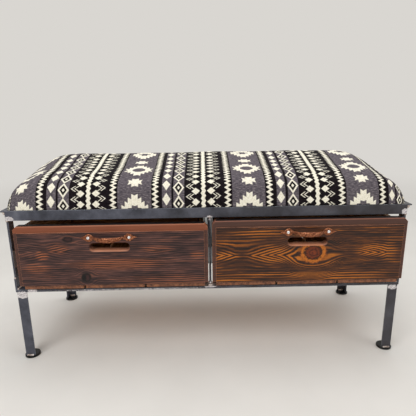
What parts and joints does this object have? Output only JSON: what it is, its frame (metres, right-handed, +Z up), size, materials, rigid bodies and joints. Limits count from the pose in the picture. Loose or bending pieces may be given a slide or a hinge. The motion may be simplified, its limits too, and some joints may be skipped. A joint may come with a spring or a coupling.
{
  "type": "industrial bench",
  "caption": "Upholstered bench on a welded steel angle frame, with pull-out wooden drawers under the seat.",
  "frame": {"origin": "on the floor, under the middle of the whole bench's outline", "axes": "+X along the length, to the right of a person who faces the drawers; +Y from the drawers to the back; +Z up. The drawers open towards -Y"},
  "size_m": [1.038, 0.4134, 0.534],
  "materials": {
    "dark_steel": "dark mill scale under wax, rubbed lighter at the edges",
    "ground_weld": "ground and burnt bright",
    "black_feet": "gloss black",
    "pale_pad": "matt",
    "packer_pine": "sawn",
    "left_front_wood": "stained and oiled, knotty",
    "right_front_wood": "stained and oiled, knotty",
    "box_wood": "stained thin",
    "forged_iron": "hammered, rust brown",
    "bright_screw": "bright",
    "zinc_slide": "bright zinc",
    "ball_steel": "polished",
    "plywood": "raw",
    "foam": "open cell foam",
    "woven_cover": "flat woven wool in cream, black and grey"
  },
  "bodies": {
    "frame": {"front_top_rail": "dark_steel", "back_top_rail": "dark_steel", "left_top_rail": "dark_steel", "right_top_rail": "dark_steel", "front_left_post": "dark_steel", "front_right_post": "dark_steel", "back_left_post": "dark_steel", "back_right_post": "dark_steel", "front_divider": "dark_steel", "back_divider": "dark_steel", "front_lower_rail": "dark_steel", "back_lower_rail": "dark_steel", "left_lower_bar": "dark_steel", "right_lower_bar": "dark_steel", "front_left_leg": "dark_steel", "front_right_leg": "dark_steel", "back_left_leg": "dark_steel", "back_right_leg": "dark_steel", "foot_discs": "black_feet", "foot_pads": "pale_pad", "weld_beads": "ground_weld", "packing_strip": "packer_pine", "seat_board": "plywood", "seat_foam": "foam", "seat_cover": "woven_cover", "seat_screws": "zinc_slide", "left_outer_slides": "zinc_slide", "right_outer_slides": "zinc_slide", "outer_slide_screws": "zinc_slide"},
    "left_drawer": {"left_front": "left_front_wood", "left_box_left_side": "box_wood", "left_box_right_side": "box_wood", "left_box_back": "box_wood", "left_bottom_boards": "box_wood", "left_pull": "forged_iron", "left_pull_screws": "bright_screw", "left_inner_slides": "zinc_slide", "left_inner_slide_screws": "zinc_slide"},
    "left_slide_middles": {"left_middle_slides": "zinc_slide"},
    "left_outer_ball_cages": {"left_outer_cages": "ball_steel"},
    "left_inner_ball_cages": {"left_inner_cages": "ball_steel"},
    "right_drawer": {"right_front": "right_front_wood", "right_box_left_side": "box_wood", "right_box_right_side": "box_wood", "right_box_back": "box_wood", "right_bottom_boards": "box_wood", "right_pull": "forged_iron", "right_pull_screws": "bright_screw", "right_inner_slides": "zinc_slide", "right_inner_slide_screws": "zinc_slide"},
    "right_slide_middles": {"right_middle_slides": "zinc_slide"},
    "right_outer_ball_cages": {"right_outer_cages": "ball_steel"},
    "right_inner_ball_cages": {"right_inner_cages": "ball_steel"}
  },
  "joints": [
    {"name": "left_drawer_slide", "type": "slide", "parent": "frame", "child": "left_drawer", "axis": [0, -1, 0], "range_m": [0, 0.35]},
    {"name": "left_middle_slide", "type": "slide", "parent": "frame", "child": "left_slide_middles", "axis": [0, -1, 0], "range_m": [0, 0.175]},
    {"name": "left_outer_cage_roll", "type": "slide", "parent": "frame", "child": "left_outer_ball_cages", "axis": [0, -1, 0], "range_m": [0, 0.0875]},
    {"name": "left_inner_cage_roll", "type": "slide", "parent": "frame", "child": "left_inner_ball_cages", "axis": [0, -1, 0], "range_m": [0, 0.2625]},
    {"name": "right_drawer_slide", "type": "slide", "parent": "frame", "child": "right_drawer", "axis": [0, -1, 0], "range_m": [0, 0.35]},
    {"name": "right_middle_slide", "type": "slide", "parent": "frame", "child": "right_slide_middles", "axis": [0, -1, 0], "range_m": [0, 0.175]},
    {"name": "right_outer_cage_roll", "type": "slide", "parent": "frame", "child": "right_outer_ball_cages", "axis": [0, -1, 0], "range_m": [0, 0.0875]},
    {"name": "right_inner_cage_roll", "type": "slide", "parent": "frame", "child": "right_inner_ball_cages", "axis": [0, -1, 0], "range_m": [0, 0.2625]}
  ],
  "couplings": [
    {"joint": "left_middle_slide", "follows": "left_drawer_slide", "ratio": 0.5},
    {"joint": "left_outer_cage_roll", "follows": "left_drawer_slide", "ratio": 0.25},
    {"joint": "left_inner_cage_roll", "follows": "left_drawer_slide", "ratio": 0.75},
    {"joint": "right_middle_slide", "follows": "right_drawer_slide", "ratio": 0.5},
    {"joint": "right_outer_cage_roll", "follows": "right_drawer_slide", "ratio": 0.25},
    {"joint": "right_inner_cage_roll", "follows": "right_drawer_slide", "ratio": 0.75}
  ]
}
